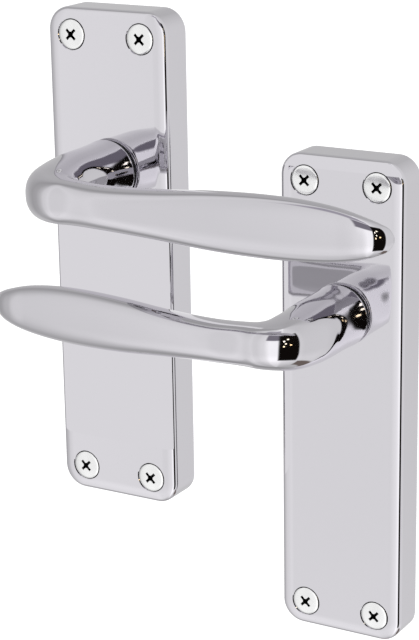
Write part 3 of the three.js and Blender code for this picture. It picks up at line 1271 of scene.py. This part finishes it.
@dataclass(frozen=True)
class Screen:
    """A white screen close to a plate, square to one axis and clear from behind. Millimetres."""

    name: str
    low: Point
    high: Point

    def corners(self) -> list[Vector]:
        """The screen's corners, ordered so that it faces up its own axis."""
        thin = [low == high for low, high in zip(self.low, self.high)].index(True)
        first, second = (thin + 1) % 3, (thin + 2) % 3
        near, far, corners = self.low, self.high, []
        for a, b in ((near, near), (far, near), (far, far), (near, far)):
            corner = Vector(near)
            corner[first], corner[second] = a[first], b[second]
            corners.append(corner * MM)
        return corners

    def build(self) -> bpy.types.Object:
        """Makes the screen and hides it from the camera, diffuse light and shadows.

        Returns:
            The screen's object.
        """
        bm = bmesh.new()
        bm.faces.new([bm.verts.new(corner) for corner in self.corners()])
        obj = as_object(bm, self.name)
        hang_light(obj, linear("#FFFFFF"), 1.0, ("ShaderNodeNewGeometry", "", "Backfacing"))
        return obj


@dataclass(frozen=True)
class Tones:
    """How bright the light tent is along one angle: pairs of degrees and a grey, blended in between."""

    low: float
    high: float
    stops: Sequence[tuple[float, float]]

    def node(self, tree: bpy.types.NodeTree, angle: bpy.types.NodeSocket) -> bpy.types.NodeSocket:
        """Adds the tones to a world's tree.

        Args:
            tree: the world's node tree.
            angle: the socket with the angle in radians.

        Returns:
            The socket with the tone.
        """
        share = add_node(
            tree,
            "ShaderNodeMapRange",
            {"From Min": math.radians(self.low), "From Max": math.radians(self.high)},
            Value=angle,
        )
        ramp = add_node(tree, "ShaderNodeValToRGB", {}, Fac=share.outputs["Result"])
        elements = ramp.color_ramp.elements
        for i, (degrees, grey) in enumerate(self.stops):
            place = (degrees - self.low) / (self.high - self.low)
            ends = {0: 0, len(self.stops) - 1: -1}
            element = elements[ends[i]] if i in ends else elements.new(place)
            element.position = place
            element.color = (grey, grey, grey, 1)
        return ramp.outputs["Color"]


@dataclass(frozen=True)
class Studio:
    """A white light tent over a pale floor, with a dark opening at its front right."""

    floor_z: float = -0.32
    floor_radius: float = 9.0
    around: Tones = Tones(
        -180,
        180,
        (
            (-180, 0.64), (-150, 0.62), (-130, 0.66), (-108, 0.62), (-90, 0.5), (-74, 0.56), (-62, 0.72),
            (-54, 0.92), (-46, 0.97), (-36, 1.03), (-28, 0.96), (-15, 0.95), (2, 1.1), (12, 1.4), (32, 1.4),
            (40, 1.1), (90, 0.9), (135, 0.9), (150, 0.84), (180, 0.66),
        ),
    )
    upward: Tones = Tones(
        -90,
        90,
        (
            (-90, 0.66), (-74, 0.74), (-64, 0.86), (-54, 0.96), (-47, 1.08), (-36, 1.1), (-28, 1.04),
            (-22, 1.0), (10, 1.0), (45, 0.96), (60, 0.92), (90, 0.92),
        ),
    )

    @staticmethod
    def paper(obj: bpy.types.Object, glow: float) -> None:
        """Covers a stage object in white paper that glows a little and stays out of the reflections.

        Args:
            obj: the floor or the backdrop.
            glow: how much light it gives by itself.
        """
        made, _, shader = bare_material(f"white_paper_{obj.name}")
        shader.inputs["Base Color"].default_value = linear("#F4F4F5")
        shader.inputs["Roughness"].default_value = 0.9
        shader.inputs["Emission Color"].default_value = (1, 1, 1, 1)
        shader.inputs["Emission Strength"].default_value = glow
        obj.data.materials.append(made)
        obj.visible_glossy = False

    def floor(self) -> None:
        """Lays the pale seamless floor; in the reflections the tent takes its place."""
        bm = bmesh.new()
        bmesh.ops.create_circle(bm, cap_ends=True, segments=96, radius=self.floor_radius)
        bmesh.ops.translate(bm, verts=bm.verts, vec=(0, 0, self.floor_z))
        self.paper(as_object(bm, "studio_floor"), 0.5)

    def backdrop(self) -> None:
        """Stands a paper wall round the floor that lights and shades nothing."""
        radius = self.floor_radius
        bm = bmesh.new()
        bmesh.ops.create_cone(bm, cap_ends=False, segments=96, radius1=radius, radius2=radius, depth=radius)
        bmesh.ops.translate(bm, verts=bm.verts, vec=(0, 0, self.floor_z + radius / 2))
        obj = as_object(bm, "studio_backdrop")
        obj.visible_diffuse = False
        obj.visible_shadow = False
        self.paper(obj, 1.0)

    def sky(self) -> None:
        """Lights the tent by its tones round and up."""
        world = bpy.data.worlds.new("light_tent")
        world.use_nodes = True
        bpy.context.scene.world = world
        tree = world.node_tree
        place = add_node(tree, "ShaderNodeTexCoord", {})
        parts = add_node(tree, "ShaderNodeSeparateXYZ", {}, Vector=place.outputs["Generated"])
        front = add_node(tree, "ShaderNodeMath", {"operation": "MULTIPLY"})
        tree.links.new(parts.outputs["Y"], front.inputs[0])
        front.inputs[1].default_value = -1.0
        azimuth = add_node(tree, "ShaderNodeMath", {"operation": "ARCTAN2"})
        tree.links.new(parts.outputs["X"], azimuth.inputs[0])
        tree.links.new(front.outputs[0], azimuth.inputs[1])
        elevation = add_node(tree, "ShaderNodeMath", {"operation": "ARCSINE"})
        tree.links.new(parts.outputs["Z"], elevation.inputs[0])
        mix = add_node(tree, "ShaderNodeMix", {"data_type": "RGBA", "blend_type": "MULTIPLY"})
        mix.inputs[0].default_value = 1.0
        tree.links.new(self.around.node(tree, azimuth.outputs[0]), mix.inputs[6])
        tree.links.new(self.upward.node(tree, elevation.outputs[0]), mix.inputs[7])
        tree.links.new(mix.outputs[2], tree.nodes["Background"].inputs["Color"])
        tree.nodes["Background"].inputs["Strength"].default_value = 1.0

    def cards(self) -> None:
        """Hangs the dark opening, the lamps in it, the tent's other tones and the screens between handles."""
        lights = [
            Card("black_opening", "#14100E", 1.0, (31, 76), (-48, 50), 0.95, 4.0),
            Card("dark_skirting", "#7E726C", 1.0, (78, 170), (-70, -46), 0.97, 5.0),
            Card("lilac_ceiling", "#B8B4BE", 1.0, (-22, 40), (52, 80), 0.97, 8.0),
            Card("lilac_valance", "#8C8892", 1.0, (4, 38), (20, 56), 0.96, 5.0),
            Card("lamp_low", "#FFE9BF", 3.0, (40, 43), (-6, -2)),
            Card("lamp_middle", "#FFF4DA", 3.0, (43, 46), (4, 8)),
            Card("lamp_high", "#FFF8E8", 3.0, (40, 43), (14, 20)),
            Card("lamp_gold", "#FFDFA8", 3.0, (52, 56), (-2, 2)),
            Card("lamp_top", "#FFF4DA", 3.0, (47, 51), (22, 27)),
            Screen("side_screen", (21.4, -13.0, -80.0), (21.4, 0.5, 80.0)),
            Screen("front_screen", (-23.0, -12.3, -58.0), (21.4, -12.3, 10.0)),
            Screen("top_screen", (42.0, 12.7, 29.0), (88.0, 12.7, 36.0)),
        ]
        for light in lights:
            light.build()

    def build(self) -> None:
        """Makes the floor, the sky and the cards."""
        self.floor()
        self.backdrop()
        self.sky()
        self.cards()
        bpy.context.scene.view_settings.view_transform = "Standard"


@dataclass(frozen=True)
class Viewpoint:
    """The camera: where it stands in millimetres, which way it looks, and its lens."""

    place: Point = (329.1, -513.2, 161.1)
    azimuth: float = 30.49
    elevation: float = 16.75
    roll: float = -0.99
    lens: float = 115.24
    sensor: float = 36.0

    def build(self) -> None:
        """Makes the camera and hands it to the scene."""
        data = bpy.data.cameras.new("viewpoint")
        data.lens = self.lens
        data.sensor_width = self.sensor
        camera = bpy.data.objects.new("viewpoint", data)
        bpy.context.collection.objects.link(camera)
        back = direction(self.azimuth, self.elevation)
        roll = Matrix.Rotation(math.radians(self.roll), 4, "Z").to_quaternion()
        turn = (-back).to_track_quat("-Z", "Y") @ roll
        camera.rotation_mode = "QUATERNION"
        camera.rotation_quaternion = turn
        camera.location = Vector(self.place) * MM
        bpy.context.scene.camera = camera


def main() -> None:
    """Builds the pair, the studio and the camera, in that order."""
    logging.basicConfig(level=logging.INFO, format="%(name)s: %(message)s")
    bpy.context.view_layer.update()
    finishes = Finishes()
    for hand in Hand:
        Handle(Site(hand)).build(finishes)
    Studio().build()
    Viewpoint().build()


if __name__ == "__main__":
    main()
